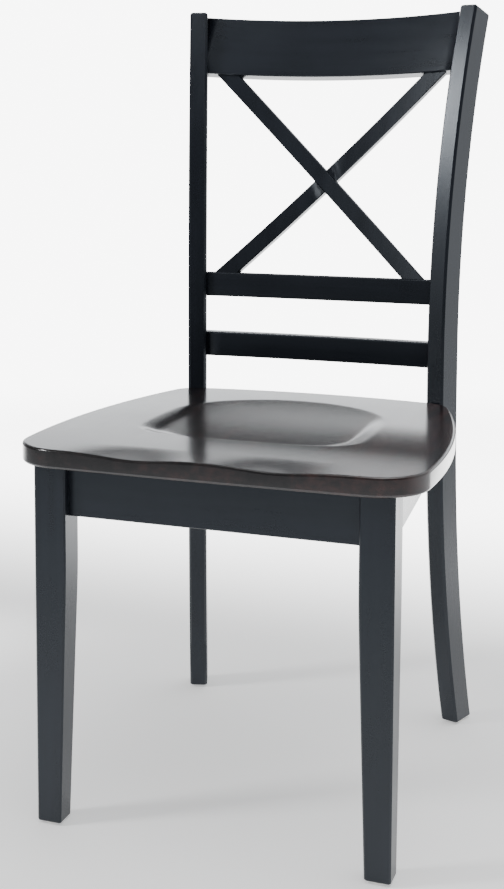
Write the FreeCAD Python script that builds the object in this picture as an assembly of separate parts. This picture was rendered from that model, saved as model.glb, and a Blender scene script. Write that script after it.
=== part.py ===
"""Cross back dining chair, in millimetres.

The chair stands on Z = 0 and faces -Y. Its front legs are square, its back legs
and back posts are one sabre-sawn piece each, and they are turned in plan so that
they stand square to the bowed back. Left is -X, right is +X, seen from the front.
While it is drawn, the front faces of the front legs lie on Y = 0; at the end
everything is moved so that the origin is under the middle of the chair.
"""
import FreeCAD, Part

import math
import os

from FreeCAD import Vector

os.makedirs("parts", exist_ok=True)

# Overall sizes
OVERALL_HEIGHT = 990.0
FRAME_FRONT_WIDTH = 430.0
FRAME_REAR_WIDTH = 360.0
POST_FRONT_Y = 424.0

# Front legs
LEG_WIDTH = 40.0
LEG_DEPTH = 38.0
LEG_FOOT_WIDTH = 30.5
LEG_FOOT_DEPTH = 29.5
LEG_TAPER_TOP = 310.0
LEG_KNEE_BLEND = 25.0
LEG_EDGE_CHAMFER = 2.0
FOOT_CHAMFER = 1.5

# Back posts
POST_TURN = 18.0
POST_THICK = 25.0
POST_DEPTH = 43.0
POST_END_DEPTH = 41.0
POST_LOW_RADIUS = 1810.0
POST_HIGH_RADIUS = 1525.0
POST_STRAIGHT_LOW = 450.0
POST_STRAIGHT_HIGH = 517.0
POST_EDGE_CHAMFER = 3.0
POST_TOP_CHAMFER = 3.0

# Bowed rails between the posts
CREST_BOW_RADIUS = 780.0
RAIL_BOW_RADIUS = 2400.0
BACK_LEAN_RADIUS = 1310.0
RAIL_THICK = 20.0
RAIL_SETBACK = 8.7
RAIL_EDGE_CHAMFER = 2.0
CREST_DROP = 8.0
CREST_HEIGHT = 79.5
UPPER_RAIL_LOW = 590.5
UPPER_RAIL_HEIGHT = 33.5
LOWER_RAIL_LOW = 505.5
LOWER_RAIL_HEIGHT = 34.0
TENON_THICK = 10.0
TENON_LENGTH = 15.0
TENON_SHOULDER = 5.0

# Crossed bars
BAR_WIDTH = 22.0
BAR_THICK = 12.0
BAR_BOW_RADIUS = 750.0
BAR_EDGE_CHAMFER = 1.2
BAR_FOOT_GAP = 16.0
BAR_HEAD_GAP = 16.5

# Seat
SEAT_THICK = 23.0
SEAT_HALF_WIDTH = 245.0
SEAT_FRONT_OVERHANG = 18.5
SEAT_WIDEST_Y = 90.0
SEAT_SIDE_RADIUS = 940.0
SEAT_FRONT_SAGITTA = 5.0
SEAT_REAR_SAGITTA = 19.0
SEAT_FRONT_CORNER = 58.0
SEAT_REAR_CORNER = 36.0
SEAT_TOP_CHAMFER = 2.0
SEAT_BOTTOM_CHAMFER = 3.0
SEAT_POST_GAP = 2.5
BOWL_DEPTH = 8.5
BOWL_REAR_DEPTH = 4.0
BOWL_HALF_WIDTH = 154.0
BOWL_FRONT_Y = 98.0
BOWL_REAR_Y = 376.0
BOWL_WALL_WIDTH = 50.0
THIGH_DIP_DEPTH = 4.5
THIGH_DIP_X = 84.0
THIGH_DIP_WIDTH = 48.0
THIGH_DIP_REAR_Y = 60.0

# Aprons under the seat
APRON_HEIGHT = 61.0
APRON_THICK = 19.0
APRON_BOTTOM = 377.5
APRON_SETBACK = 12.5
SIDE_APRON_INSET = 9.0
SIDE_APRON_POST_INSET = 4.0
APRON_EDGE_CHAMFER = 1.2

# Corner blocks
BLOCK_HEIGHT = 30.0
BLOCK_WIDTH = 40.0
BLOCK_CORNER_GAP = 1.0

# Dowels, screws and glides
DOWEL_DIAMETER = 8.0
DOWEL_DEPTH = 16.0
BACK_DOWEL_DEPTH = 13.0
BAR_DOWEL_DIAMETER = 6.0
BAR_DOWEL_DEPTH = 12.0
SCREW_DIAMETER = 4.0
SCREW_HEAD_DIAMETER = 8.0
SCREW_HEAD_HEIGHT = 2.4
BLOCK_SCREW_LENGTH = 32.0
BLOCK_SCREW_IN_APRON = 13.0
SEAT_SCREW_LENGTH = 34.0
SEAT_SCREW_IN_SEAT = 14.0
GLIDE_DIAMETER = 20.0
GLIDE_HEIGHT = 3.0
GLIDE_HEAD_DIAMETER = 7.0
GLIDE_RECESS = 1.2
NAIL_DIAMETER = 2.4
NAIL_LENGTH = 16.0

# Dowels, screws and their holes repeat often, so they are drawn with this many flats
FLATS = 12

# Clearances
GLUE_GAP = 0.1
SCREW_GAP = 0.15
COUNTERBORE_GAP = 0.6

# Sizes that follow from the ones above
FAR = 2000.0
UP = Vector(0, 0, 1)
APRON_TOP = APRON_BOTTOM + APRON_HEIGHT
SEAT_BOTTOM = APRON_TOP
SEAT_TOP = SEAT_BOTTOM + SEAT_THICK
LEG_OUTER_X = FRAME_FRONT_WIDTH / 2
LEG_INNER_X = LEG_OUTER_X - LEG_WIDTH
TURN = math.radians(POST_TURN)
ALONG_POST = Vector(math.sin(TURN), math.cos(TURN), 0)
ACROSS_POST = Vector(math.cos(TURN), -math.sin(TURN), 0)
POST_OUTER_CORNER = Vector(FRAME_REAR_WIDTH / 2, POST_FRONT_Y, 0)
POST_INNER_CORNER = POST_OUTER_CORNER - ACROSS_POST * POST_THICK


def mirrored(shape):
    """The same shape on the chair's other side."""
    return shape.mirror(Vector(0, 0, 0), Vector(1, 0, 0))


def prism(points, low, high):
    """A straight prism over a closed outline of (x, y) points."""
    corners = [Vector(x, y, low) for x, y in points]
    face = Part.Face(Part.makePolygon(corners + corners[:1]))
    return face.extrude(UP * (high - low))


def block_along(start, direction, up, length, width, height):
    """A box that runs from start along direction, centred on it across and up."""
    across = direction.cross(up)
    corner = start - across * (width / 2) - up * (height / 2)
    points = [corner, corner + across * width]
    points += [points[1] + up * height, corner + up * height]
    return Part.Face(Part.makePolygon(points + points[:1])).extrude(direction * length)


def rod(start, direction, diameter, length):
    """A round rod from start along direction."""
    return Part.makeCylinder(diameter / 2, length, start, direction)


def flats(diameter, height):
    """The corners, at a height, of the polygon that stands for a small circle."""
    turns = [2 * math.pi * n / FLATS for n in range(FLATS)]
    radius = diameter / 2
    return [Vector(radius * math.cos(a), radius * math.sin(a), height) for a in turns]


def faceted(start, direction, diameter, length):
    """A small round pin or hole from start along direction, drawn with flats."""
    corners = flats(diameter, 0)
    pin = Part.Face(Part.makePolygon(corners + corners[:1])).extrude(UP * length)
    pin.Placement = FreeCAD.Placement(start, FreeCAD.Rotation(UP, direction))
    return pin


def dowel(middle, direction, diameter, depth_back, depth_ahead):
    """A dowel across a joint."""
    start = middle - direction * depth_back
    return faceted(start, direction, diameter, depth_back + depth_ahead)


def biggest(shape):
    """The largest solid of a shape, after a cut that leaves offcuts."""
    return max(shape.Solids, key=lambda solid: solid.Volume)


def line_crossing(point, direction, other, other_direction):
    """Where two lines in plan cross."""
    cross = direction.x * other_direction.y - direction.y * other_direction.x
    gap = other - point
    share = (gap.x * other_direction.y - gap.y * other_direction.x) / cross
    return point + direction * share


# The back: posts and the bowed, leaning surface that the rails follow


def post_sweep(z):
    """How far the front of a post lies behind its straight middle at a height."""
    low = max(POST_STRAIGHT_LOW - z, 0.0)
    high = max(z - POST_STRAIGHT_HIGH, 0.0)
    back = POST_LOW_RADIUS - math.sqrt(POST_LOW_RADIUS**2 - low**2)
    return back + POST_HIGH_RADIUS - math.sqrt(POST_HIGH_RADIUS**2 - high**2)


def post_depth(z):
    """Front to back size of a post: full in its straight middle, less at its ends."""
    if z < POST_STRAIGHT_LOW:
        share = (POST_STRAIGHT_LOW - z) / (POST_STRAIGHT_LOW - GLIDE_HEIGHT)
    else:
        share = max(z - POST_STRAIGHT_HIGH, 0.0) / (OVERALL_HEIGHT - POST_STRAIGHT_HIGH)
    return POST_DEPTH + (POST_END_DEPTH - POST_DEPTH) * share


def on_post(sweep, z):
    """A point of the right post's inner face."""
    return POST_INNER_CORNER + ALONG_POST * sweep + UP * z


def post_front_edges(top):
    """The front line of the right post's inner face, from its foot to a height."""
    low_mid = (GLIDE_HEIGHT + POST_STRAIGHT_LOW) / 2
    high_mid = (top + POST_STRAIGHT_HIGH) / 2
    heights = [GLIDE_HEIGHT, low_mid, POST_STRAIGHT_LOW, POST_STRAIGHT_HIGH, high_mid, top]
    spots = [on_post(post_sweep(z), z) for z in heights]
    return spots, [
        Part.Arc(*spots[:3]),
        Part.LineSegment(spots[2], spots[3]),
        Part.Arc(*spots[3:]),
    ]


def post_blank():
    """The right post's sawn blank, before its edges are eased and it is bored."""
    lean = math.asin((OVERALL_HEIGHT - POST_STRAIGHT_HIGH) / POST_HIGH_RADIUS)
    top = OVERALL_HEIGHT + POST_TOP_CHAMFER * math.sin(lean)
    low_mid = (GLIDE_HEIGHT + POST_STRAIGHT_LOW) / 2
    high_mid = (top + POST_STRAIGHT_HIGH) / 2

    def rear(z):
        return on_post(post_sweep(z) + post_depth(z), z)

    fronts, edges = post_front_edges(top)
    down_back = ALONG_POST * math.cos(lean) - UP * math.sin(lean)
    top_rear = fronts[-1] + down_back * POST_END_DEPTH
    edges += [
        Part.LineSegment(fronts[-1], top_rear),
        Part.Arc(top_rear, rear(high_mid), rear(POST_STRAIGHT_HIGH)),
        Part.LineSegment(rear(POST_STRAIGHT_HIGH), rear(POST_STRAIGHT_LOW)),
        Part.Arc(rear(POST_STRAIGHT_LOW), rear(low_mid), rear(GLIDE_HEIGHT)),
        Part.LineSegment(rear(GLIDE_HEIGHT), fronts[0]),
    ]
    face = Part.Face(Part.Wire([edge.toShape() for edge in edges]))
    return face.extrude(ACROSS_POST * POST_THICK)


def behind_post_front():
    """Everything behind the curved front face of the right post."""
    fronts, edges = post_front_edges(OVERALL_HEIGHT)
    far = ALONG_POST * POST_FRONT_Y
    edges += [
        Part.LineSegment(fronts[-1], fronts[-1] + far),
        Part.LineSegment(fronts[-1] + far, fronts[0] + far),
        Part.LineSegment(fronts[0] + far, fronts[0]),
    ]
    face = Part.Face(Part.Wire([edge.toShape() for edge in edges]))
    face.translate(ACROSS_POST * -POST_FRONT_Y)
    return face.extrude(ACROSS_POST * (2 * POST_FRONT_Y))


def eased_post(post):
    """The right post with its top, its foot and its long edges chamfered."""
    long_edge = (POST_STRAIGHT_HIGH - POST_STRAIGHT_LOW) * 0.9
    reach = POST_DEPTH * 0.6
    high = [e for e in post.Edges if e.BoundBox.ZMin > OVERALL_HEIGHT - reach]
    post = post.makeChamfer(POST_TOP_CHAMFER, high)
    long_edges = [e for e in post.Edges if e.BoundBox.ZLength > long_edge]
    post = post.makeChamfer(POST_EDGE_CHAMFER, long_edges)
    foot = [e for e in post.Edges if e.BoundBox.ZMax < GLIDE_HEIGHT + 0.01]
    return post.makeChamfer(FOOT_CHAMFER, foot)


# The rails and the bars are bent slabs: a plan arc that is pushed along a leaning line.
# The lean at a height is that of a circle behind the chair, which starts at the top of
# the posts' straight part.
CREST_TOP = OVERALL_HEIGHT - CREST_DROP
CREST_LOW = CREST_TOP - CREST_HEIGHT
RAIL_END_Y = POST_INNER_CORNER.y + RAIL_SETBACK


class Bend:
    """A bent, leaning surface through a spot given for the ends of its chord."""

    def __init__(self, radius, half_chord, spot, lean):
        self.radius = radius
        self.up = Vector(0, math.sin(lean), math.cos(lean))
        self.back = Vector(0, math.cos(lean), -math.sin(lean))
        self.spot = Vector(0, spot.y, spot.z)
        self.centre = self.spot - self.back * math.sqrt(radius**2 - half_chord**2)

    def arc_point(self, x, behind):
        """A point of the plan arc, a distance behind the front face."""
        reach = math.sqrt((self.radius + behind) ** 2 - x**2)
        return self.centre + self.back * reach + Vector(x, 0, 0)

    def point(self, x, z, behind):
        """A point of the surface at a height."""
        base = self.arc_point(x, behind)
        return base + self.up * ((z - base.z) / self.up.z)

    def slab(self, front, rear, reach):
        """The slab between two distances behind the front, to a reach up and down."""
        half = FRAME_REAR_WIDTH * 0.75
        edges = [
            Part.Arc(*[self.arc_point(x, front) for x in (-half, 0, half)]),
            Part.LineSegment(self.arc_point(half, front), self.arc_point(half, rear)),
            Part.Arc(*[self.arc_point(x, rear) for x in (half, 0, -half)]),
            Part.LineSegment(self.arc_point(-half, rear), self.arc_point(-half, front)),
        ]
        face = Part.Face(Part.Wire([edge.toShape() for edge in edges]))
        face.translate(self.up * -reach)
        return face.extrude(self.up * (2 * reach))

    def post_meeting(self, z, behind):
        """Where a line of the surface at a height meets the right post."""
        low, high = 0.0, POST_DEPTH * 4
        for _ in range(60):
            sweep = (low + high) / 2
            spot = on_post(sweep, z)
            if self.point(spot.x, z, behind).y > spot.y:
                low = sweep
            else:
                high = sweep
        return on_post(sweep, z)


def rail_bend(radius, low, high):
    """The bend of a rail between two heights, measured at its ends."""
    middle = (low + high) / 2
    lean = math.asin((middle - POST_STRAIGHT_HIGH) / BACK_LEAN_RADIUS)
    y = RAIL_END_Y + BACK_LEAN_RADIUS * (1 - math.cos(lean))
    return Bend(radius, POST_INNER_CORNER.x, Vector(0, y, middle), lean)


def between_posts():
    """Everything between the inner faces of the two posts."""
    near = POST_INNER_CORNER - ALONG_POST * POST_FRONT_Y / 2
    far = POST_INNER_CORNER + ALONG_POST * POST_FRONT_Y
    outline = [(near.x, near.y), (far.x, far.y), (-far.x, far.y), (-near.x, near.y)]
    return prism(outline, 0, OVERALL_HEIGHT * 1.2)


class Rail:
    """A rail of the back, bowed and leaning, with a tenon into each post."""

    def __init__(self, radius, low, height):
        self.low, self.high, self.height = low, low + height, height
        self.bend = rail_bend(radius, self.low, self.high)
        self.reach = height / 2 / self.bend.up.z

    def edge(self, x, behind, at_top):
        """A point of the upper or lower face."""
        rise = self.bend.up * (self.reach if at_top else -self.reach)
        return self.bend.arc_point(x, behind) + rise

    def tenon(self, gap):
        """The right tenon, or its mortise with a gap."""
        up, across = self.bend.up, ACROSS_POST
        root = self.bend.post_meeting(self.bend.spot.z, RAIL_THICK / 2)
        up = (up - across * up.dot(across)).normalize()
        start = root - across * (TENON_LENGTH / 2)
        height = 2 * self.reach - 2 * TENON_SHOULDER + 2 * gap
        return block_along(start, across, up, TENON_LENGTH * 1.5 + gap, TENON_THICK + 2 * gap, height)

    def solid(self):
        rail = biggest(self.bend.slab(0, RAIL_THICK, self.reach).common(between_posts()))
        long_edges = [e for e in rail.Edges if e.Length > FRAME_REAR_WIDTH / 2]
        rail = rail.makeChamfer(RAIL_EDGE_CHAMFER, long_edges)
        tongue = self.tenon(0)
        return rail.fuse([tongue, mirrored(tongue)]).removeSplitter().Solids[0]


CREST = Rail(CREST_BOW_RADIUS, CREST_LOW, CREST_HEIGHT)
UPPER_RAIL = Rail(RAIL_BOW_RADIUS, UPPER_RAIL_LOW, UPPER_RAIL_HEIGHT)
LOWER_RAIL = Rail(RAIL_BOW_RADIUS, LOWER_RAIL_LOW, LOWER_RAIL_HEIGHT)
RAILS = {"crest_rail": CREST, "upper_back_rail": UPPER_RAIL, "lower_back_rail": LOWER_RAIL}

# Crossed bars, halved into each other where they cross
BAR_RISE = CREST.low - UPPER_RAIL.high
BAR_FRONT = (RAIL_THICK - BAR_THICK) / 2
BAR_MIDDLE = RAIL_THICK / 2


def bar_ends():
    """Half spans of a bar's middle line at its foot and head, in front view."""
    foot = UPPER_RAIL.bend.post_meeting(UPPER_RAIL.high, BAR_MIDDLE).x - BAR_FOOT_GAP
    head = CREST.bend.post_meeting(CREST.low, BAR_MIDDLE).x - BAR_HEAD_GAP
    slant = BAR_WIDTH / 2
    for _ in range(20):
        run = foot + head - 2 * slant
        slant = BAR_WIDTH / 2 * math.hypot(run, BAR_RISE) / BAR_RISE
    return foot - slant, head - slant


BAR_FOOT_X, BAR_HEAD_X = bar_ends()


def bar_bend():
    """The bend of the bars, from the middle of the upper rail to that of the crest."""
    foot = UPPER_RAIL.edge(BAR_FOOT_X, BAR_MIDDLE, True)
    head = CREST.edge(BAR_HEAD_X, BAR_MIDDLE, False)
    radius = BAR_BOW_RADIUS + BAR_MIDDLE
    step = math.sqrt(radius**2 - BAR_HEAD_X**2) - math.sqrt(radius**2 - BAR_FOOT_X**2)
    rise = Vector(0, head.y - foot.y, head.z - foot.z)
    lean = math.atan2(rise.y, rise.z) - math.asin(step / rise.Length)
    forward = Vector(0, -math.cos(lean), math.sin(lean)) * BAR_MIDDLE
    return Bend(BAR_BOW_RADIUS, BAR_FOOT_X, foot + forward, lean)


BAR_BEND = bar_bend()


def bar_line(side):
    """The foot and head of the middle line of the bar that starts on one side."""
    foot = UPPER_RAIL.edge(BAR_FOOT_X, BAR_MIDDLE, True)
    head = CREST.edge(BAR_HEAD_X, BAR_MIDDLE, False)
    return Vector(side * BAR_FOOT_X, foot.y, foot.z), Vector(-side * BAR_HEAD_X, head.y, head.z)


def bar_outline(side, width):
    """A bar's outline, square to the leaning plane of the bars."""
    foot, head = bar_line(side)
    along = (head - foot).normalize()
    across = along.cross(BAR_BEND.back).normalize() * (width / 2)
    front = BAR_BEND.back * -CREST_HEIGHT
    low = foot - along * BAR_WIDTH * 3 + front
    high = head + along * BAR_WIDTH * 3 + front
    points = [low - across, low + across, high + across, high - across]
    face = Part.Face(Part.makePolygon(points + points[:1]))
    return face.extrude(BAR_BEND.back * (2 * CREST_HEIGHT))


def bar_opening():
    """The space that the bars fill, from the upper rail to the crest rail."""
    low, high = UPPER_RAIL.edge(0, 0, True), CREST.edge(0, 0, False)
    wide = CREST_HEIGHT
    spots = [low - UPPER_RAIL.bend.back * wide, low + UPPER_RAIL.bend.back * wide]
    spots += [high + CREST.bend.back * wide, high - CREST.bend.back * wide]
    spots = [spot - Vector(FRAME_REAR_WIDTH, 0, 0) for spot in spots]
    face = Part.Face(Part.makePolygon(spots + spots[:1]))
    return face.extrude(Vector(2 * FRAME_REAR_WIDTH, 0, 0))


def bar_axis(side, at_head):
    """The end of a bar's middle line and its direction there, out of the bar."""
    foot, head = bar_line(side)
    near, far = (head, foot) if at_head else (foot, head)
    inward = near + (far - near) * 0.02
    inward = BAR_BEND.point(inward.x, inward.z, BAR_MIDDLE)
    return near, (near - inward).normalize()


def cross_bar(side, notch_front, notch_rear):
    """One bar with its ends cut to the rails and its half of the halving joint."""
    slab = BAR_BEND.slab(BAR_FRONT, BAR_FRONT + BAR_THICK, BAR_RISE * 1.5)
    bar = slab.common(bar_outline(side, BAR_WIDTH)).common(bar_opening()).Solids[0]
    long_edges = [e for e in bar.Edges if e.Length > BAR_RISE / 2]
    bar = bar.makeChamfer(BAR_EDGE_CHAMFER, long_edges)
    half = BAR_BEND.slab(notch_front, notch_rear, BAR_RISE * 1.5)
    notch = half.common(bar_outline(-side, BAR_WIDTH + 2 * GLUE_GAP))
    return bar.cut(notch).removeSplitter().Solids[0]


def bar_dowels():
    """The four dowels of the bars' ends, as (middle, direction)."""
    return [bar_axis(side, at_head) for side in (1, -1) for at_head in (True, False)]


# Seat


def smooth_step(share):
    """Rises smoothly from 0 to 1 as the share does."""
    share = min(max(share, 0.0), 1.0)
    return share * share * (3 - 2 * share)


def bowl_profile(x, y):
    """Depth of the seat's carving: a bowl that shallows to the rear, and two thigh dips."""
    middle = (BOWL_FRONT_Y + BOWL_REAR_Y) / 2
    half = (BOWL_REAR_Y - BOWL_FRONT_Y) / 2
    power = 3.4 if y < middle else 2.0
    aside, ahead = abs(x) / BOWL_HALF_WIDTH, abs(y - middle) / half
    reach = (aside**power + ahead**power) ** (1 / power)
    wall = smooth_step((1 - reach) * half / BOWL_WALL_WIDTH)
    floor_start, floor_end = BOWL_FRONT_Y + BOWL_WALL_WIDTH, BOWL_REAR_Y - BOWL_WALL_WIDTH
    along = min(max((y - floor_start) / (floor_end - floor_start), 0.0), 1.0)
    bowl = (BOWL_DEPTH + (BOWL_REAR_DEPTH - BOWL_DEPTH) * along) * wall
    ahead = max(THIGH_DIP_REAR_Y - y, 0.0) / (THIGH_DIP_REAR_Y + SEAT_FRONT_OVERHANG)
    thigh = math.exp(-(((abs(x) - THIGH_DIP_X) / THIGH_DIP_WIDTH) ** 2))
    return bowl + THIGH_DIP_DEPTH * thigh * ahead * ahead


def seat_outline():
    """The seat's plan as a face, with its four corners still sharp."""
    side_x = SEAT_HALF_WIDTH - SEAT_SIDE_RADIUS
    front_y = -SEAT_FRONT_OVERHANG
    gap_y = POST_FRONT_Y - SEAT_POST_GAP

    def side(y):
        return side_x + math.sqrt(SEAT_SIDE_RADIUS**2 - (y - SEAT_WIDEST_Y) ** 2)

    front_corner = Vector(side(front_y), front_y + SEAT_FRONT_SAGITTA, SEAT_BOTTOM)
    rear_corner = Vector(side(gap_y), gap_y, SEAT_BOTTOM)
    side_middle = Vector(SEAT_HALF_WIDTH, SEAT_WIDEST_Y, SEAT_BOTTOM)
    other_front = Vector(-front_corner.x, front_corner.y, SEAT_BOTTOM)
    other_rear = Vector(-rear_corner.x, rear_corner.y, SEAT_BOTTOM)
    other_middle = Vector(-side_middle.x, side_middle.y, SEAT_BOTTOM)
    front_middle = Vector(0, front_y, SEAT_BOTTOM)
    rear_middle = Vector(0, gap_y + SEAT_REAR_SAGITTA, SEAT_BOTTOM)
    edges = [
        Part.Arc(other_front, front_middle, front_corner),
        Part.Arc(front_corner, side_middle, rear_corner),
        Part.Arc(rear_corner, rear_middle, other_rear),
        Part.Arc(other_rear, other_middle, other_front),
    ]
    return Part.Face(Part.Wire([edge.toShape() for edge in edges]))


def seat_board():
    """The solid seat, its corners rounded, its top carved and its edges eased."""
    board = seat_outline().extrude(UP * (SEAT_THICK + BOWL_DEPTH))
    upright = [e for e in board.Edges if abs(e.tangentAt(e.FirstParameter).z) > 0.99]
    front = [e for e in upright if e.CenterOfMass.y < SEAT_WIDEST_Y]
    rear = [e for e in upright if e.CenterOfMass.y > SEAT_WIDEST_Y]
    board = board.makeFillet(SEAT_FRONT_CORNER, front)
    rear = [e for e in board.Edges if any(e.CenterOfMass.isEqual(r.CenterOfMass, 0.01) for r in rear)]
    board = board.makeFillet(SEAT_REAR_CORNER, rear)
    board = board.cut(carving()).removeSplitter().Solids[0]
    bottom = [e for e in board.Edges if e.BoundBox.ZMax < SEAT_BOTTOM + 0.01]
    board = board.makeChamfer(SEAT_BOTTOM_CHAMFER, bottom)
    top = [e for e in board.Edges if e.BoundBox.ZMin > SEAT_BOTTOM + SEAT_THICK / 2 and e.Length > 20]
    return board.makeChamfer(SEAT_TOP_CHAMFER, top)


def carving():
    """What is carved away above the seat's top surface."""
    half = SEAT_HALF_WIDTH * 1.1
    front = -SEAT_FRONT_OVERHANG - SEAT_HALF_WIDTH * 0.1
    rear = POST_FRONT_Y + SEAT_REAR_SAGITTA + SEAT_HALF_WIDTH * 0.1
    columns, rows = 25, 23
    grid = []
    for i in range(columns):
        x = -half + 2 * half * i / (columns - 1)
        ys = [front + (rear - front) * j / (rows - 1) for j in range(rows)]
        grid.append([Vector(x, y, SEAT_TOP - bowl_profile(x, y)) for y in ys])
    surface = Part.BSplineSurface()
    surface.interpolate(grid)
    return surface.toShape().extrude(UP * SEAT_THICK * 2)


# Front legs and aprons


def tapered_profile(width, foot_width):
    """One view of a leg as edges: upright outer line, and an inner line that tapers."""
    drop = Vector(foot_width - width, 0, GLIDE_HEIGHT - LEG_TAPER_TOP).normalize()
    knee = Vector(width, 0, LEG_TAPER_TOP)
    above = knee + UP * LEG_KNEE_BLEND
    below = knee + drop * LEG_KNEE_BLEND
    radius = LEG_KNEE_BLEND / math.tan(math.acos(-drop.z) / 2)
    centre = above - Vector(radius, 0, 0)
    middle = centre + (knee - centre).normalize() * radius
    foot, head = Vector(foot_width, 0, GLIDE_HEIGHT), Vector(width, 0, APRON_TOP)
    outer_foot, outer_head = Vector(0, 0, GLIDE_HEIGHT), Vector(0, 0, APRON_TOP)
    edges = [
        Part.LineSegment(foot, below),
        Part.Arc(below, middle, above),
        Part.LineSegment(above, head),
        Part.LineSegment(head, outer_head),
        Part.LineSegment(outer_head, outer_foot),
        Part.LineSegment(outer_foot, foot),
    ]
    return Part.Face(Part.Wire([edge.toShape() for edge in edges]))


def front_leg_blank():
    """The right front leg: square above, tapered below on its two inner faces."""
    broad = tapered_profile(LEG_WIDTH, LEG_FOOT_WIDTH)
    broad = broad.extrude(Vector(0, LEG_DEPTH, 0)).mirror(Vector(), Vector(1, 0, 0))
    broad.translate(Vector(LEG_OUTER_X, 0, 0))
    deep = tapered_profile(LEG_DEPTH, LEG_FOOT_DEPTH)
    deep.rotate(Vector(), UP, 90)
    return broad.common(deep.extrude(Vector(FRAME_FRONT_WIDTH, 0, 0))).Solids[0]


def eased_leg(leg):
    """A leg with its long edges and its foot chamfered."""
    upright = [e for e in leg.Edges if e.BoundBox.ZLength > LEG_KNEE_BLEND]
    leg = leg.makeChamfer(LEG_EDGE_CHAMFER, upright)
    foot = [e for e in leg.Edges if e.BoundBox.ZMax < GLIDE_HEIGHT + 0.01]
    return leg.makeChamfer(FOOT_CHAMFER, foot)


SIDE_FRONT = Vector(LEG_OUTER_X - SIDE_APRON_INSET, LEG_DEPTH, 0)
SIDE_REAR = POST_OUTER_CORNER - Vector(SIDE_APRON_POST_INSET, 0, 0)
SIDE_ALONG = (SIDE_REAR - SIDE_FRONT).normalize()
SIDE_ACROSS = Vector(-SIDE_ALONG.y, SIDE_ALONG.x, 0)
SIDE_MIDDLE = SIDE_FRONT + SIDE_ACROSS * (APRON_THICK / 2)
SIDE_INNER = SIDE_FRONT + SIDE_ACROSS * APRON_THICK
BACK_APRON_Y = POST_INNER_CORNER.y + GLUE_GAP


def apron_eased(apron):
    """An apron with its two lower long edges eased."""
    low = [e for e in apron.Edges if e.BoundBox.ZMax < APRON_BOTTOM + 0.01]
    return apron.makeChamfer(APRON_EDGE_CHAMFER, [e for e in low if e.Length > FRAME_REAR_WIDTH / 2])


def front_apron_board():
    """The apron between the front legs."""
    near, far = APRON_SETBACK, APRON_SETBACK + APRON_THICK
    x = LEG_INNER_X
    outline = [(-x, near), (x, near), (x, far), (-x, far)]
    return apron_eased(prism(outline, APRON_BOTTOM, APRON_TOP))


def back_apron_board():
    """The apron between the posts, its ends cut to their turned inner faces."""
    near, far = BACK_APRON_Y, BACK_APRON_Y + APRON_THICK
    x = FRAME_REAR_WIDTH
    outline = [(-x, near), (x, near), (x, far), (-x, far)]
    board = prism(outline, APRON_BOTTOM, APRON_TOP).common(between_posts())
    return apron_eased(biggest(board))


def side_apron_board():
    """The right side apron, from the leg's back to the post's curved front."""
    near = SIDE_ALONG * -LEG_DEPTH
    past = SIDE_ALONG * POST_FRONT_Y
    spots = [SIDE_FRONT + near, SIDE_FRONT + past, SIDE_INNER + past, SIDE_INNER + near]
    board = prism([(p.x, p.y) for p in spots], APRON_BOTTOM, APRON_TOP)
    rear = BACK_APRON_Y - GLUE_GAP
    behind_leg = prism([(0, LEG_DEPTH), (FAR, LEG_DEPTH), (FAR, rear), (0, rear)], 0, FAR)
    return apron_eased(biggest(board.common(behind_leg).cut(behind_post_front())))


# Two dowels stand above each other in every joint. Those of the side aprons are one
# step higher, so that they pass between the others inside a leg or a post.
DOWEL_STEP = APRON_HEIGHT / 5
CROSS_DOWEL_Z = [APRON_BOTTOM + DOWEL_STEP * n for n in (0.75, 2.75)]
SIDE_DOWEL_Z = [z + DOWEL_STEP for z in CROSS_DOWEL_Z]


def front_apron_joints():
    """Right end of the front apron: (middle, direction) of each dowel."""
    y = APRON_SETBACK + APRON_THICK / 2
    return [(Vector(LEG_INNER_X, y, z), Vector(1, 0, 0)) for z in CROSS_DOWEL_Z]


def side_front_joints():
    """Front end of the right side apron."""
    spot = line_crossing(SIDE_MIDDLE, SIDE_ALONG, Vector(0, LEG_DEPTH, 0), Vector(1, 0, 0))
    return [(spot + UP * z, SIDE_ALONG) for z in SIDE_DOWEL_Z]


def side_rear_joints():
    """Rear end of the right side apron: the dowels run between its line and the post's."""
    way = (SIDE_ALONG + ALONG_POST).normalize()
    joints = []
    for z in SIDE_DOWEL_Z:
        front_face = POST_INNER_CORNER + ALONG_POST * post_sweep(z)
        spot = line_crossing(SIDE_MIDDLE, SIDE_ALONG, front_face, ACROSS_POST)
        joints.append((spot + UP * z, way))
    return joints


def back_apron_joints():
    """Right end of the back apron."""
    y = BACK_APRON_Y + APRON_THICK / 2
    spot = line_crossing(Vector(0, y, 0), Vector(1, 0, 0), POST_INNER_CORNER, ALONG_POST)
    return [(spot + UP * z, Vector(1, 0, 0)) for z in CROSS_DOWEL_Z]


def pins(joints, diameter, depth_back, depth_ahead):
    """The dowels of a list of joints."""
    return [dowel(spot, way, diameter, depth_back, depth_ahead) for spot, way in joints]


def holes(joints, diameter, depth_back, depth_ahead):
    """The holes that those dowels are glued into."""
    gap = GLUE_GAP
    return [
        faceted(spot - way * (depth_back + gap), way, diameter + 2 * gap, depth_back + depth_ahead + 2 * gap)
        for spot, way in joints
    ]


# Corner blocks, their screws and the seat's screws


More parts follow.
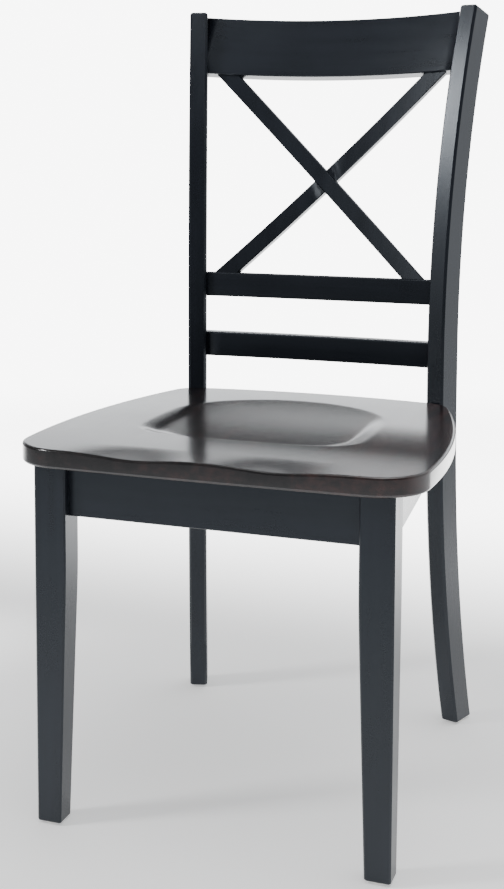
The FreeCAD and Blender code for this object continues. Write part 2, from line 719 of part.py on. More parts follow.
class Corner:
    """One right-hand corner of the seat frame: two apron faces and what stands in it."""

    def __init__(self, corner, first, first_way, second, second_way):
        inward = (first_way + second_way).normalize()
        slant = Vector(-inward.y, inward.x, 0)
        near = corner + inward * BLOCK_CORNER_GAP
        far = near + inward * BLOCK_WIDTH
        self.points = [
            line_crossing(near, slant, first, first_way),
            line_crossing(far, slant, first, first_way),
            line_crossing(far, slant, second, second_way),
            line_crossing(near, slant, second, second_way),
        ]
        self.faces = [
            (self.points[0], self.points[1], second_way),
            (self.points[3], self.points[2], first_way),
        ]
        self.top = APRON_TOP
        self.middle = APRON_TOP - BLOCK_HEIGHT / 2

    def blank(self):
        return prism([(p.x, p.y) for p in self.points], self.top - BLOCK_HEIGHT, self.top)

    def apron_screws(self):
        """(tip, direction towards the head) of the screws into the two aprons."""
        screws = []
        for near, far, way in self.faces:
            face = (far - near).normalize()
            square = Vector(-face.y, face.x, 0)
            if square.dot(way) < 0:
                square = square * -1
            spot = near + (far - near) * 0.62 + UP * self.middle
            screws.append((spot - square * BLOCK_SCREW_IN_APRON, square))
        return screws

    def seat_screw(self):
        spot = sum(self.points[1:], self.points[0]) * 0.25
        tip = SEAT_BOTTOM + SEAT_SCREW_IN_SEAT
        return (Vector(spot.x, spot.y, tip), Vector(0, 0, -1))


def screw(tip, way, length):
    """A pan head wood screw, from its point to the flat of its head."""
    point = SCREW_DIAMETER * 1.2
    rings = [flats(SCREW_DIAMETER / 5, 0), flats(SCREW_DIAMETER, point)]
    cone = Part.makeLoft([Part.makePolygon(ring + ring[:1]) for ring in rings], True, True)
    shank = faceted(UP * point, UP, SCREW_DIAMETER, length - point - SCREW_HEAD_HEIGHT / 2)
    head = faceted(UP * (length - SCREW_HEAD_HEIGHT), UP, SCREW_HEAD_DIAMETER, SCREW_HEAD_HEIGHT)
    body = shank.fuse([cone, head]).removeSplitter().Solids[0]
    body.Placement = FreeCAD.Placement(tip, FreeCAD.Rotation(UP, way))
    return body


def screw_bore(tip, way, length):
    """The pilot hole of a screw, with the counterbore that lets its head in."""
    shank = faceted(tip - way * SCREW_GAP, way, SCREW_DIAMETER + 2 * SCREW_GAP, length)
    head = tip + way * (length - SCREW_HEAD_HEIGHT - SCREW_GAP)
    wide = SCREW_HEAD_DIAMETER + 2 * COUNTERBORE_GAP
    return [shank, faceted(head, way, wide, BLOCK_WIDTH + BLOCK_HEIGHT)]


def front_corner():
    """The corner behind the right front leg."""
    inside = Vector(LEG_INNER_X, LEG_DEPTH, 0)
    apron = Vector(0, APRON_SETBACK + APRON_THICK, 0)
    return Corner(inside, apron, Vector(-1, 0, 0), SIDE_INNER, SIDE_ALONG)


def rear_corner():
    """The corner in front of the right post."""
    apron = Vector(0, BACK_APRON_Y, 0)
    meeting = line_crossing(SIDE_INNER, SIDE_ALONG, apron, Vector(1, 0, 0))
    return Corner(meeting, apron, Vector(-1, 0, 0), SIDE_INNER, SIDE_ALONG * -1)


# Glides


def foot_centres():
    """The middle of the foot of the right front leg and of the right post."""
    leg = Vector(LEG_OUTER_X - LEG_FOOT_WIDTH / 2, LEG_FOOT_DEPTH / 2, 0)
    sweep = post_sweep(GLIDE_HEIGHT) + POST_END_DEPTH / 2
    return leg, on_post(sweep, 0) + ACROSS_POST * (POST_THICK / 2)


def glide(centre):
    """A nylon floor glide: a low dome with a recess for its nail's head."""
    disc = rod(centre, UP, GLIDE_DIAMETER, GLIDE_HEIGHT)
    rim = [e for e in disc.Edges if e.BoundBox.ZMax < 0.01]
    disc = disc.makeChamfer(GLIDE_HEIGHT / 3, rim)
    recess = faceted(centre - UP, UP, GLIDE_HEAD_DIAMETER + 4 * SCREW_GAP, GLIDE_RECESS + 1)
    hole = faceted(centre, UP, NAIL_DIAMETER + 2 * SCREW_GAP, GLIDE_HEIGHT)
    return disc.cut([recess, hole])


def glide_nail(centre):
    """The square nail that holds a glide, its head up in the recess."""
    head_height = GLIDE_RECESS / 2
    base = centre + UP * head_height
    head = faceted(base, UP, GLIDE_HEAD_DIAMETER, GLIDE_RECESS - head_height)
    half = NAIL_DIAMETER / 2 / math.sqrt(2)
    corners = [(-half, -half), (half, -half), (half, half), (-half, half)]
    shank = prism(corners, 0, NAIL_LENGTH)
    tip = [e for e in shank.Edges if e.BoundBox.ZMin > NAIL_LENGTH - 0.01]
    shank = shank.makeChamfer(half * 0.8, tip)
    shank.translate(base)
    return head.fuse(shank).removeSplitter().Solids[0]


def nail_hole(centre):
    """The nail's hole in the foot."""
    length = GLIDE_RECESS + NAIL_LENGTH
    return faceted(centre, UP, NAIL_DIAMETER + 2 * SCREW_GAP, length)


def both(shapes):
    """Shapes of the right side, with their mirror images."""
    return list(shapes) + [mirrored(shape) for shape in shapes]


def build():
    """All nodes of the chair, by name."""
    nodes = {}
    d, w = DOWEL_DEPTH, DOWEL_DIAMETER
    leg_foot, post_foot = foot_centres()
    front, rear = front_corner(), rear_corner()
    front_seat, rear_seat = front.seat_screw(), rear.seat_screw()

    front_pins, side_front = front_apron_joints(), side_front_joints()
    side_rear, back_pins = side_rear_joints(), back_apron_joints()
    front_holes = holes(front_pins, w, d, d)
    side_holes = holes(side_front, w, d, d) + holes(side_rear, w, d, d)
    back_holes = holes(back_pins, w, d, BACK_DOWEL_DEPTH)
    front_bores = [screw_bore(*s, BLOCK_SCREW_LENGTH) for s in front.apron_screws()]
    rear_bores = [screw_bore(*s, BLOCK_SCREW_LENGTH) for s in rear.apron_screws()]

    leg = eased_leg(front_leg_blank())
    leg = leg.cut(front_holes + side_holes[:2] + [nail_hole(leg_foot)]).Solids[0]
    nodes["front_leg_right"] = leg
    nodes["front_leg_left"] = mirrored(leg)

    post = eased_post(post_blank())
    mortises = [rail.tenon(GLUE_GAP) for rail in RAILS.values()]
    bored = mortises + side_holes[2:] + back_holes + [nail_hole(post_foot)]
    post = biggest(post.cut(bored))
    nodes["rear_post_right"] = post
    nodes["rear_post_left"] = mirrored(post)

    bar_pins = bar_dowels()
    bar_bores = holes(bar_pins, BAR_DOWEL_DIAMETER, BAR_DOWEL_DEPTH, BAR_DOWEL_DEPTH)
    for name, rail in RAILS.items():
        nodes[name] = rail.solid().cut(bar_bores).Solids[0]
    middle = BAR_MIDDLE
    nodes["cross_bar_front"] = cross_bar(1, middle, RAIL_THICK).cut(bar_bores).Solids[0]
    nodes["cross_bar_rear"] = cross_bar(-1, 0, middle).cut(bar_bores).Solids[0]

    board = front_apron_board()
    bores = both(front_holes) + both(front_bores[0])
    nodes["front_apron"] = board.cut(bores).Solids[0]
    board = back_apron_board()
    bores = both(back_holes) + both(rear_bores[0])
    nodes["back_apron"] = board.cut(bores).Solids[0]
    board = side_apron_board()
    bores = side_holes + front_bores[1] + rear_bores[1]
    nodes["side_apron_right"] = board.cut(bores).Solids[0]
    nodes["side_apron_left"] = mirrored(nodes["side_apron_right"])

    for name, corner, bores in (("front", front, front_bores), ("rear", rear, rear_bores)):
        seat_bore = screw_bore(*corner.seat_screw(), SEAT_SCREW_LENGTH)
        block = corner.blank().cut(bores[0] + bores[1] + seat_bore).Solids[0]
        nodes["corner_block_" + name + "_right"] = block
        nodes["corner_block_" + name + "_left"] = mirrored(block)

    seat_bores = screw_bore(*front_seat, SEAT_SCREW_LENGTH)[:1]
    seat_bores += screw_bore(*rear_seat, SEAT_SCREW_LENGTH)[:1]
    nodes["seat"] = seat_board().cut(both(seat_bores)).Solids[0]

    groups = {
        "front_apron_dowels": pins(front_pins, w, d, d),
        "side_apron_dowels": pins(side_front + side_rear, w, d, d),
        "back_apron_dowels": pins(back_pins, w, d, BACK_DOWEL_DEPTH),
        "corner_block_screws": [
            screw(*s, BLOCK_SCREW_LENGTH) for s in front.apron_screws() + rear.apron_screws()
        ],
        "seat_screws": [screw(*s, SEAT_SCREW_LENGTH) for s in (front_seat, rear_seat)],
        "floor_glides": [glide(leg_foot), glide(post_foot)],
        "glide_nails": [glide_nail(leg_foot), glide_nail(post_foot)],
    }
    for name, shapes in groups.items():
        nodes[name] = Part.makeCompound(both(shapes))
    ends = pins(bar_pins, BAR_DOWEL_DIAMETER, BAR_DOWEL_DEPTH, BAR_DOWEL_DEPTH)
    nodes["cross_bar_dowels"] = Part.makeCompound(ends)
    return nodes


chair = build()
boxes = [chair[name].optimalBoundingBox(False) for name in ("seat", "crest_rail", "rear_post_right")]
front_y = min(box.YMin for box in boxes)
rear_y = max(box.YMax for box in boxes)
to_origin = Vector(0, -(front_y + rear_y) / 2, 0)
for node, shape in chair.items():
    shape.translate(to_origin)
    shape.exportStep("parts/" + node + ".step")
    solids = shape.Solids
    volume = sum(solid.Volume for solid in solids)
    print(node, len(solids), "solids", round(volume / 1000, 1), "cm3", shape.isValid())
print("depth", round(rear_y - front_y, 2), "height", round(boxes[2].ZMax, 2))
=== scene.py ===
"""Looks for a cross back dining chair.

The frame is hardwood under satin charcoal paint, and the scooped seat is dark
espresso wood under a semi-gloss lacquer. The chair faces -Y, and the camera
stands in front of it, a little to its right, just under the height of the crest.
"""
import math

import bmesh
import bpy
from mathutils import Matrix, Vector


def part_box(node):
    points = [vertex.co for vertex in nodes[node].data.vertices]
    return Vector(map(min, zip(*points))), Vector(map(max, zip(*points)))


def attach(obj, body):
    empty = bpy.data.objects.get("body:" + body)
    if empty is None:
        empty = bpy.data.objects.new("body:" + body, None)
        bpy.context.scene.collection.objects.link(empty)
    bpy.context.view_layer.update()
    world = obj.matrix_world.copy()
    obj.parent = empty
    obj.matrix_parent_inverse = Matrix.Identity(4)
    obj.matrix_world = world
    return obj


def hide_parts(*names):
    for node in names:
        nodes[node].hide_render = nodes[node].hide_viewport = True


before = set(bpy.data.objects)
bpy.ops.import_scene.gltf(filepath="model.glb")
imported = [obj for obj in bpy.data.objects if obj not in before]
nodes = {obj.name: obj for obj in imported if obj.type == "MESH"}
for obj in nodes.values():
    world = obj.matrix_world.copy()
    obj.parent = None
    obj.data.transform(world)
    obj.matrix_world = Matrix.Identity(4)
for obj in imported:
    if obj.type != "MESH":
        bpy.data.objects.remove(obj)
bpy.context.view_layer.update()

MM = 0.001


# Shader building


class Value:
    """One output socket. Arithmetic on it adds the Math node that works it out."""

    def __init__(self, shader, socket):
        self.shader = shader
        self.socket = socket

    def _math(self, operation, *values, clamp=False):
        settings = {"operation": operation, "use_clamp": clamp}
        return self.shader.add("ShaderNodeMath", settings, *values)

    def __add__(self, other):
        return self._math("ADD", self, other)

    __radd__ = __add__

    def __sub__(self, other):
        return self._math("SUBTRACT", self, other)

    def __rsub__(self, other):
        return self._math("SUBTRACT", other, self)

    def __mul__(self, other):
        return self._math("MULTIPLY", self, other)

    __rmul__ = __mul__

    def clamped(self):
        return self._math("ADD", self, 0.0, clamp=True)

    def between(self, low, high):
        """0 below low, 1 above high and smooth from one to the other."""
        settings = {"interpolation_type": "SMOOTHSTEP"}
        return self.shader.add("ShaderNodeMapRange", settings, self, low, high, 0.0, 1.0)


class Shader:
    """The node tree of one material or of the world, with a plain way to add to it."""

    def __init__(self, tree):
        self.tree = tree
        tree.nodes.clear()

    def add(self, kind, settings, *values, output=0, **named):
        """A node of one kind: its settings first, then its sockets by order or name."""
        node = self.tree.nodes.new(kind)
        for name, setting in settings.items():
            if name == "stops":
                self._stops(node.color_ramp, setting)
            else:
                setattr(node, name, setting)
        sockets = [socket for socket in node.inputs if socket.enabled]
        wanted = list(zip(sockets, values))
        wanted += [(node.inputs[name.replace("_", " ")], v) for name, v in named.items()]
        for socket, value in wanted:
            if isinstance(value, Value):
                self.tree.links.new(value.socket, socket)
            elif value is not None:
                socket.default_value = value
        outputs = [socket for socket in node.outputs if socket.enabled]
        return Value(self, outputs[output]) if outputs else node

    def _stops(self, ramp, stops):
        while len(ramp.elements) < len(stops):
            ramp.elements.new(1.0)
        for element, (position, colour) in zip(ramp.elements, stops):
            element.position = position
            element.color = (*colour, 1.0)

    def object_place(self, scale=(1, 1, 1), turn=(0, 0, 0), shift=(0, 0, 0)):
        """The piece's own coordinates, stretched, turned and shifted."""
        place = self.add("ShaderNodeTexCoord", {}, output=3)
        return self.add("ShaderNodeMapping", {}, place, shift, turn, scale)

    def noise(self, place, scale, detail=4.0, roughness=0.55, distortion=0.0):
        settings = {"noise_dimensions": "3D"}
        return self.add(
            "ShaderNodeTexNoise",
            settings,
            Vector=place,
            Scale=scale,
            Detail=detail,
            Roughness=roughness,
            Distortion=distortion,
        )

    def mix(self, share, first, second):
        """Two colours mixed."""
        return self.add("ShaderNodeMix", {"data_type": "RGBA"}, share, first, second)

    def ramp(self, value, *stops):
        return self.add("ShaderNodeValToRGB", {"stops": stops}, value)

    def bump(self, height, distance, strength):
        sockets = {"Height": height, "Distance": distance, "Strength": strength}
        return self.add("ShaderNodeBump", {}, **sockets)

    def surface(self, **sockets):
        body = self.add("ShaderNodeBsdfPrincipled", {}, **sockets)
        self.add("ShaderNodeOutputMaterial", {}, body)


def new_material(name):
    material = bpy.data.materials.new(name)
    material.use_nodes = True
    return material, Shader(material.node_tree)


def satin_paint(name, along):
    """Charcoal paint that lets a little of the wood's grain through along one axis."""
    material, s = new_material(name)
    stretch = [1.0, 1.0, 1.0]
    stretch[along] = 0.05
    pores = s.noise(s.object_place(scale=stretch), 420.0, 3.0, 0.6)
    flow = s.noise(s.object_place(scale=stretch), 60.0, 4.0, 0.55, 0.4)
    cloud = s.noise(s.object_place(), 9.0, 3.0, 0.5)
    speck = s.noise(s.object_place(), 900.0, 1.0, 0.5)
    tone = (flow * 0.5 + cloud * 0.5).between(0.35, 0.65)
    colour = s.mix(tone, (0.0055, 0.0070, 0.0105, 1), (0.0090, 0.0110, 0.0160, 1))
    rough = 0.20 + cloud * 0.08 + flow * 0.06 + speck * 0.03
    height = pores.between(0.25, 0.6) * 0.35 + flow * 0.5 + speck * 0.1
    normal = s.bump(height, 0.00006, 0.55)
    s.surface(
        Base_Color=colour,
        Roughness=rough,
        Normal=normal,
        IOR=1.5,
        Specular_IOR_Level=0.5,
        Specular_Tint=(0.85, 0.92, 1.0, 1),
    )
    return material


def espresso_wood(name):
    """Dark stained boards glued edge to edge, grain from front to back, lacquered."""
    material, s = new_material(name)
    place = s.object_place()
    x = s.add("ShaderNodeSeparateXYZ", {}, place, output=0)
    wander = s.noise(s.object_place(scale=(1, 0.3, 1)), 3.0, 2.0, 0.5)
    board = s.add("ShaderNodeMath", {"operation": "FLOOR"}, x * 14.3 + wander * 0.02 + 0.5)
    shade = s.add("ShaderNodeTexWhiteNoise", {"noise_dimensions": "1D"}, board)
    streak = s.noise(s.object_place(scale=(1.0, 0.07, 1.0)), 130.0, 5.0, 0.6, 0.5)
    figure = s.noise(s.object_place(scale=(1.0, 0.12, 1.0)), 26.0, 4.0, 0.55, 1.2)
    pores = s.noise(s.object_place(scale=(1.0, 0.05, 1.0)), 700.0, 2.0, 0.5)
    blotch = s.noise(s.object_place(scale=(1.0, 0.5, 1.4)), 38.0, 3.0, 0.6, 0.8)
    grain = (streak * 0.4 + figure * 0.3 + blotch * 0.3 + shade * 0.12 - 0.06).clamped()
    colour = s.ramp(
        grain,
        (0.40, (0.0035, 0.0028, 0.0034)),
        (0.49, (0.0090, 0.0062, 0.0066)),
        (0.56, (0.0230, 0.0110, 0.0105)),
        (0.66, (0.0440, 0.0185, 0.0165)),
    )
    dark_pores = pores.between(0.58, 0.76)
    colour = s.mix(dark_pores * 0.5, colour, (0.003, 0.0022, 0.0025, 1))
    cloud = s.noise(place, 12.0, 2.0, 0.5)
    rough = 0.18 + cloud * 0.05 + streak * 0.04
    height = streak * 0.5 - dark_pores * 0.25 + blotch * 0.5
    normal = s.bump(height, 0.00004, 0.45)
    s.surface(
        Base_Color=colour,
        Roughness=rough,
        Normal=normal,
        IOR=1.5,
        Specular_IOR_Level=0.55,
        Coat_Weight=0.35,
        Coat_Roughness=0.14,
        Coat_IOR=1.5,
    )
    return material


def bare_wood(name, light, dark, along):
    """Unfinished hardwood, such as a corner block or a dowel."""
    material, s = new_material(name)
    stretch = [1.0, 1.0, 1.0]
    stretch[along] = 0.08
    streak = s.noise(s.object_place(scale=stretch), 160.0, 5.0, 0.6, 0.3)
    cloud = s.noise(s.object_place(), 25.0, 3.0, 0.5)
    colour = s.mix((streak * 0.7 + cloud * 0.3).between(0.3, 0.7), dark, light)
    s.surface(
        Base_Color=colour,
        Roughness=0.62 + streak * 0.15,
        Normal=s.bump(streak, 0.0001, 0.6),
    )
    return material


def zinc_steel(name):
    """Zinc plated screw steel with fine marks."""
    material, s = new_material(name)
    marks = s.noise(s.object_place(scale=(1, 1, 6)), 600.0, 3.0, 0.6)
    colour = s.mix(marks, (0.50, 0.50, 0.49, 1), (0.66, 0.66, 0.68, 1))
    s.surface(Base_Color=colour, Roughness=0.28 + marks * 0.15, Metallic=1.0)
    return material


def glide_nylon(name):
    """Natural nylon, slightly yellow and scuffed underneath."""
    material, s = new_material(name)
    cloud = s.noise(s.object_place(), 180.0, 4.0, 0.6)
    colour = s.mix(cloud, (0.66, 0.64, 0.58, 1), (0.82, 0.81, 0.77, 1))
    s.surface(
        Base_Color=colour,
        Roughness=0.45 + cloud * 0.15,
        Normal=s.bump(cloud, 0.0001, 0.4),
    )
    return material


X, Y, Z = 0, 1, 2
paint_upright = satin_paint("satin_paint_upright", Z)
paint_across = satin_paint("satin_paint_across", X)
paint_deep = satin_paint("satin_paint_deep", Y)
seat_wood = espresso_wood("espresso_seat_wood")
block_wood = bare_wood("corner_block_wood", (0.62, 0.45, 0.27, 1), (0.42, 0.28, 0.15, 1), X)
dowel_wood = bare_wood("dowel_beech", (0.72, 0.56, 0.38, 1), (0.55, 0.40, 0.25, 1), X)
screw_steel = zinc_steel("zinc_screw_steel")
nylon = glide_nylon("natural_nylon")


# Pieces


def mesh_from(work, name, crease=None):
    """Turns finished bmesh work into a mesh, smooth up to an angle if one is given."""
    for face in work.faces:
        face.smooth = crease is not None
    mesh = bpy.data.meshes.new(name)
    work.to_mesh(mesh)
    work.free()
    if crease is not None:
        mesh.set_sharp_from_angle(angle=math.radians(crease))
    return mesh


def finish_piece(mesh, name, material, node):
    """Puts a mesh in the scene in place of its CAD node."""
    piece = bpy.data.objects.new(name, mesh)
    bpy.context.scene.collection.objects.link(piece)
    mesh.materials.clear()
    mesh.materials.append(material)
    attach(piece, "root")
    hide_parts(node)
    return piece


def dressed(node, material, crease=50):
    """A frame piece with the CAD node's own shape, welded and smoothly shaded."""
    work = bmesh.new()
    work.from_mesh(nodes[node].data)
    bmesh.ops.remove_doubles(work, verts=work.verts, dist=2e-6)
    bmesh.ops.dissolve_limit(
        work,
        angle_limit=math.radians(0.08),
        verts=work.verts,
        edges=work.edges,
        delimit=set(),
    )
    name = node + "_painted"
    piece = finish_piece(mesh_from(work, name, crease), name, material, node)
    even = piece.modifiers.new("even_shading", "WEIGHTED_NORMAL")
    even.keep_sharp = True
    even.weight = 100


UPRIGHTS = ["front_leg_left", "front_leg_right", "rear_post_left", "rear_post_right"]
CROSS_BARS = ["cross_bar_front", "cross_bar_rear"]
CROSSWISE = ["crest_rail", "upper_back_rail", "lower_back_rail", "front_apron", "back_apron"]
FRONT_TO_BACK = ["side_apron_left", "side_apron_right"]
for node in UPRIGHTS + CROSS_BARS:
    dressed(node, paint_upright, crease=25)
for node in CROSSWISE:
    dressed(node, paint_across)
for node in FRONT_TO_BACK:
    dressed(node, paint_deep)


def circle_exit(centre, radius, start, way):
    """How far a ray from inside a circle goes before it leaves it."""
    gap = start - centre
    along = gap.dot(way)
    return -along + math.sqrt(along * along - gap.dot(gap) + radius * radius)


SEAT_THICK = 23.0 * MM
SEAT_LENGTH = 440.0 * MM  # front edge to the line through the ends of the rear arc
SEAT_WIDEST = 108.5 * MM  # behind the front edge
SEAT_MIDDLE = 215.0 * MM  # behind the front edge
FRONT_RISE, REAR_RISE = 5.0 * MM, 19.0 * MM
FRONT_CORNER, REAR_CORNER = 58.0 * MM, 36.0 * MM


class SeatPlan:
    """The seat's outline: four arcs and four rounded corners."""

    def __init__(self):
        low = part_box("seat")[0]
        self.top = low.z + SEAT_THICK
        self.bottom = low.z
        self.front = low.y
        self.half_width = 244.7 * MM
        self.widest_y = self.front + SEAT_WIDEST
        self.side_radius = 940.0 * MM
        rear_line = self.front + SEAT_LENGTH
        front_half = self._side_x(self.front)
        rear_half = self._side_x(rear_line)
        self.front_circle = self._arc_circle(front_half, FRONT_RISE, self.front, 1)
        self.rear_circle = self._arc_circle(rear_half, REAR_RISE, rear_line + REAR_RISE, -1)
        side_x = self.half_width - self.side_radius
        self.side_circle = (Vector((side_x, self.widest_y)), self.side_radius)
        self.middle = Vector((0.0, self.front + SEAT_MIDDLE))
        self.corners = [
            self._corner(self.front_circle, FRONT_CORNER),
            self._corner(self.rear_circle, REAR_CORNER),
        ]

    def _side_x(self, y):
        reach = math.sqrt(self.side_radius**2 - (y - self.widest_y) ** 2)
        return self.half_width - self.side_radius + reach

    def _arc_circle(self, half, rise, middle_y, way):
        radius = (half * half + rise * rise) / (2 * rise)
        return Vector((0.0, middle_y + way * radius)), radius

    def _corner(self, end_circle, radius):
        """Centre, radius and the two bearings of a rounded corner on the right."""
        (a, ra), (b, rb) = self.side_circle, end_circle
        ra, rb = ra - radius, rb - radius
        span = (b - a).length
        along = (ra * ra - rb * rb + span * span) / (2 * span)
        across = math.sqrt(ra * ra - along * along)
        line = (b - a).normalized()
        spots = [a + line * along + Vector((-line.y, line.x)) * across * k for k in (1, -1)]
        centre = max(spots, key=lambda spot: spot.x)
        touches = [centre + (centre - a).normalized() * radius]
        touches.append(centre + (centre - b).normalized() * radius)
        bearings = [math.atan2(t.y - self.middle.y, t.x) for t in touches]
        return centre, radius, min(bearings), max(bearings)

    def reach(self, way):
        """Distance from the middle to the outline in one direction."""
        way = Vector((abs(way.x), way.y))
        bearing = math.atan2(way.y, way.x)
        for centre, radius, low, high in self.corners:
            if low < bearing < high:
                return circle_exit(centre, radius, self.middle, way)
        circles = (self.side_circle, self.front_circle, self.rear_circle)
        return min(circle_exit(c, r, self.middle, way) for c, r in circles)


def smooth_share(value):
    value = min(max(value, 0.0), 1.0)
    return value * value * (3 - 2 * value)


LEG_LINE = 18.5  # mm from the seat's front edge back to the front of the legs
BOWL_MIDDLE, BOWL_HALF_LENGTH, BOWL_HALF_WIDTH = 237.0, 139.0, 146.0
BOWL_SLOPE = 0.037
BOWL_REAR_DROP, BOWL_REAR_REACH = 1.6, 42.0
BOWL_WALL = 30.0
BOWL_SQUARENESS = 3.4
LIP_START, LIP_WIDTH = 12.0, 34.0
THIGH_X, THIGH_SPREAD, THIGH_DEPTH = 84.0, 45.0, 4.3
THIGH_REAR, THIGH_REACH, THIGH_CURVE = 38.0, 56.5, 1.9


def bowl_depth(x, y):
    """A bowl that deepens forward from its rear rim, up to the lip at its front."""
    aside = min(abs(x) / BOWL_HALF_WIDTH, 1.0)
    ahead = max(BOWL_MIDDLE - y, 0.0) / BOWL_HALF_LENGTH
    rear_rim = BOWL_MIDDLE + BOWL_HALF_LENGTH * math.sqrt(1 - aside * aside)
    run = max(rear_rim - y, 0.0)
    fall = BOWL_SLOPE * run + BOWL_REAR_DROP * (1 - math.exp(-run / BOWL_REAR_REACH))
    wall = smooth_share((BOWL_HALF_WIDTH - abs(x)) / BOWL_WALL)
    square = BOWL_SQUARENESS
    reach = ((0.85 * aside) ** square + ahead**square) ** (1 / square)
    inward = ((1 - reach) * BOWL_HALF_LENGTH - LIP_START) / LIP_WIDTH
    inward = min(max(inward, 0.0), 1.0)
    return fall * wall * inward * (2 - inward)


def thigh_depth(x, y):
    """Two dips that deepen toward the front edge."""
    ahead = max(THIGH_REAR - y, 0.0) / THIGH_REACH
    thigh = math.exp(-(((abs(x) - THIGH_X) / THIGH_SPREAD) ** 2))
    return THIGH_DEPTH * thigh * ahead**THIGH_CURVE


def carved_depth(x, y):
    """How deep the seat is carved at x from its middle and y behind the legs' front, in mm."""
    return (bowl_depth(x, y) + thigh_depth(x, y)) * MM


def carved_seat():
    """The seat: a fine grid drawn out to its outline, carved, with rounded edges."""
    plan = SeatPlan()
    ease_top, ease_bottom = 3.0 * MM, 3.5 * MM
    work = bmesh.new()
    bmesh.ops.create_grid(work, x_segments=140, y_segments=140, size=1.0)
    for vert in work.verts:
        u, v = vert.co.x, vert.co.y
        disc = Vector((u * math.sqrt(1 - v * v / 2), v * math.sqrt(1 - u * u / 2)))
        share = disc.length
        way = disc.normalized() if share > 1e-6 else Vector((1.0, 0.0))
        flat = plan.middle + way * share * (plan.reach(way) - ease_top)
        depth = carved_depth(flat.x / MM, (flat.y - plan.front) / MM - LEG_LINE)
        vert.co = Vector((flat.x, flat.y, plan.top - depth))

    def rim():
        return [edge for edge in work.edges if edge.is_boundary]

    def outward(vert, edges):
        near = [edge for edge in vert.link_edges if edge in edges]
        spots = [edge.other_vert(vert).co for edge in near]
        line = (spots[0] - spots[1]).xy.normalized()
        square = Vector((line.y, -line.x))
        return square if square.dot(vert.co.xy - plan.middle) > 0 else -square

    def drawn_out(moves, level=None):
        """Extrudes the open rim by steps of (outward, down)."""
        for out, down in moves:
            made = bmesh.ops.extrude_edge_only(work, edges=rim())["geom"]
            fresh = [item for item in made if isinstance(item, bmesh.types.BMVert)]
            new_rim = set(rim())
            ways = {vert: outward(vert, new_rim) for vert in fresh}
            for vert, way in ways.items():
                vert.co.x += way.x * out
                vert.co.y += way.y * out
                vert.co.z = vert.co.z - down if level is None else level - down

    steps = 6
    turns = [math.radians(90 * n / steps) for n in range(steps + 1)]
    top_moves = [
        (ease_top * (math.sin(b) - math.sin(a)), ease_top * (math.cos(a) - math.cos(b)))
        for a, b in zip(turns, turns[1:])
    ]
    drawn_out(top_moves)
    drawn_out([(0.0, 0.0)], level=plan.bottom + ease_bottom)
    bottom_moves = [
        (-ease_bottom * (math.cos(a) - math.cos(b)), ease_bottom * (math.sin(b) - math.sin(a)))
        for a, b in zip(turns, turns[1:])
    ]
    drawn_out(bottom_moves)
    bmesh.ops.holes_fill(work, edges=rim(), sides=0)
    bmesh.ops.recalc_face_normals(work, faces=work.faces)
    mesh = mesh_from(work, "carved_seat", crease=50)
    piece = finish_piece(mesh, "carved_seat", seat_wood, "seat")
    piece.modifiers.new("even_shading", "WEIGHTED_NORMAL")


carved_seat()

CARRIED_OVER = {
    "corner_block_front_left": block_wood,
    "corner_block_front_right": block_wood,
    "corner_block_rear_left": block_wood,
    "corner_block_rear_right": block_wood,
    "front_apron_dowels": dowel_wood,
    "side_apron_dowels": dowel_wood,
    "back_apron_dowels": dowel_wood,
    "cross_bar_dowels": dowel_wood,
    "corner_block_screws": screw_steel,
    "seat_screws": screw_steel,
    "glide_nails": screw_steel,
    "floor_glides": nylon,
}
for node, material in CARRIED_OVER.items():
    nodes[node].data.materials.clear()
    nodes[node].data.materials.append(material)


# Studio


def studio_floor():
    """A pale floor under the glides, which fades into the white background and glows behind
    the chair as a painted pool of light.
    """
    work = bmesh.new()
    bmesh.ops.create_grid(work, x_segments=1, y_segments=1, size=3.0)
    mesh = mesh_from(work, "studio_floor")
    floor = bpy.data.objects.new("studio_floor", mesh)
    bpy.context.scene.collection.objects.link(floor)
    material, s = new_material("pale_floor")
    place = s.object_place()
    tone = s.noise(place, 1.5, 2.0, 0.5)
    colour = s.mix(tone, (0.88, 0.88, 0.88, 1), (0.90, 0.90, 0.90, 1))
    away = s.add("ShaderNodeVectorMath", {"operation": "LENGTH"}, place)
    x, y = [s.add("ShaderNodeSeparateXYZ", {}, place, output=axis) for axis in range(2)]
    rearward = y.between(0.1, 0.5) * (1 - x.between(0.6, 1.15))
    faded = away.between(0.45, 1.35) * (1 - rearward) + away.between(2.2, 2.9) * rearward
    # Painted light: the floor glows faintly near the chair and strongly behind it, a painted
    # pool of light in place of a lamp
    floor_painted_glow = s.mix(rearward * y.between(0.4, 1.5), (0.08, 0.08, 0.08, 1), (1.0, 1.0, 1.0, 1))
    pale = s.add(
        "ShaderNodeBsdfPrincipled",
        {},
        Base_Color=colour,
        Roughness=0.85,
        Specular_IOR_Level=0.1,
        Emission_Color=floor_painted_glow,
        Emission_Strength=6.0,
    )
    clear = s.add("ShaderNodeBsdfTransparent", {})
    s.add("ShaderNodeOutputMaterial", {}, s.add("ShaderNodeMixShader", {}, faded, pale, clear))
    mesh.materials.append(material)


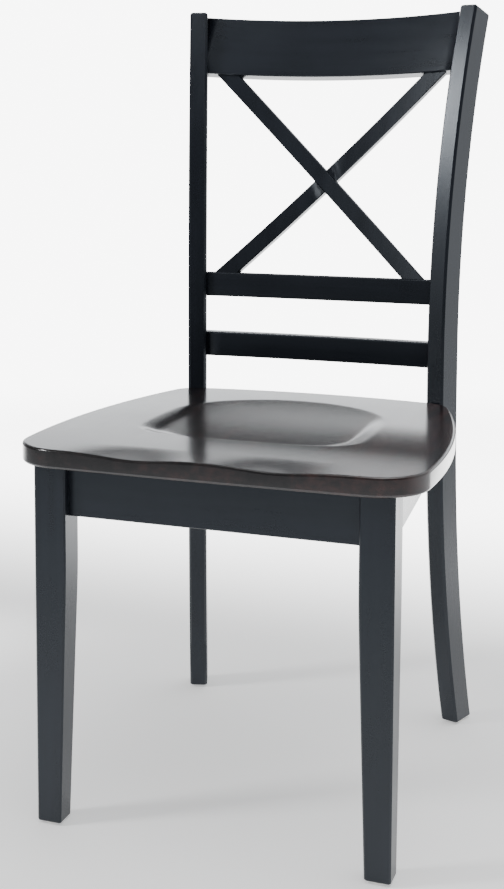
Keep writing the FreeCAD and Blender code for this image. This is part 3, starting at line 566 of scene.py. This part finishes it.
def studio_world():
    """Bright low behind the chair and to its left, dim above that and in front.

    The paint and the lacquer mirror these zones. The camera itself sees plain white.
    """
    world = bpy.data.worlds.new("studio")
    bpy.context.scene.world = world
    world.use_nodes = True
    s = Shader(world.node_tree)
    way = s.add("ShaderNodeTexCoord", {}, output=0)
    x, y, z = [s.add("ShaderNodeSeparateXYZ", {}, way, output=axis) for axis in range(3)]
    behind = (y + x * 0.35).between(-0.05, 0.75)
    leftward = (y - x).between(0.1, 0.75)
    low = 1 - z.between(0.18, 0.245)
    far_below = 1 - z.between(-0.45, -0.15)
    raised = z.between(0.09, 0.175)
    above = z.between(0.34, 0.44)
    backdrop = 0.04 + low * (1.0 + leftward * (raised * 4.2 - 0.6)) + above
    front_left = (z * 0.12 - x * 0.69 - y * 0.71).between(0.93, 0.99)
    front_high = (y * -1.0).between(0.5, 0.9) * z.between(0.25, 0.5)
    in_front = 0.165 + front_high * 0.25 + front_left * 0.7
    strength = in_front + far_below * 2.2 * (1 - behind) + behind * backdrop
    to_camera = s.add("ShaderNodeLightPath", {}, output=0)
    lit = s.add("ShaderNodeBackground", {}, (0.95, 0.975, 1.0, 1), strength)
    shown = s.add("ShaderNodeBackground", {}, (1.0, 1.0, 1.0, 1), 8.0)
    both = s.add("ShaderNodeMixShader", {}, to_camera, lit, shown)
    s.add("ShaderNodeOutputWorld", {}, both)


def softbox(name, place, aim, size, power):
    """A large rectangular light that the camera doesn't see."""
    light = bpy.data.lights.new(name, "AREA")
    light.shape = "RECTANGLE"
    light.size, light.size_y = size
    light.energy = power
    lamp = bpy.data.objects.new(name, light)
    bpy.context.scene.collection.objects.link(lamp)
    lamp.location = place
    lamp.rotation_euler = (Vector(aim) - Vector(place)).to_track_quat("-Z", "Y").to_euler()
    lamp.visible_camera = False


def photo_camera():
    """The photograph's camera, placed by its distances and angles."""
    place = Vector((0.5714961, -1.8515574, 0.8462142))
    yaw, pitch, roll = 0.3839, 0.1058, -0.0038
    level = math.cos(pitch)
    ahead = Vector((-math.sin(yaw) * level, math.cos(yaw) * level, -math.sin(pitch)))
    right = Vector((math.cos(yaw), math.sin(yaw), 0.0))
    up = right.cross(ahead)
    side = right * math.cos(roll) + up * math.sin(roll)
    top = up * math.cos(roll) - right * math.sin(roll)
    lens = bpy.data.cameras.new("photo_camera")
    lens.lens = 62.038
    lens.shift_x = 0.11539
    lens.shift_y = -0.18897
    camera = bpy.data.objects.new("photo_camera", lens)
    bpy.context.scene.collection.objects.link(camera)
    turn = Matrix((side, top, -ahead)).transposed().to_4x4()
    camera.matrix_world = Matrix.Translation(place) @ turn
    bpy.context.scene.camera = camera


studio_floor()
studio_world()
softbox("overhead_softbox", (0.6, -0.4, 3.2), (0, 0, 0.3), (2.4, 2.4), 58.0)
softbox("left_softbox", (-1.98, -1.46, 1.95), (0.2, 0.25, 0.9), (0.42, 0.8), 40.0)
photo_camera()
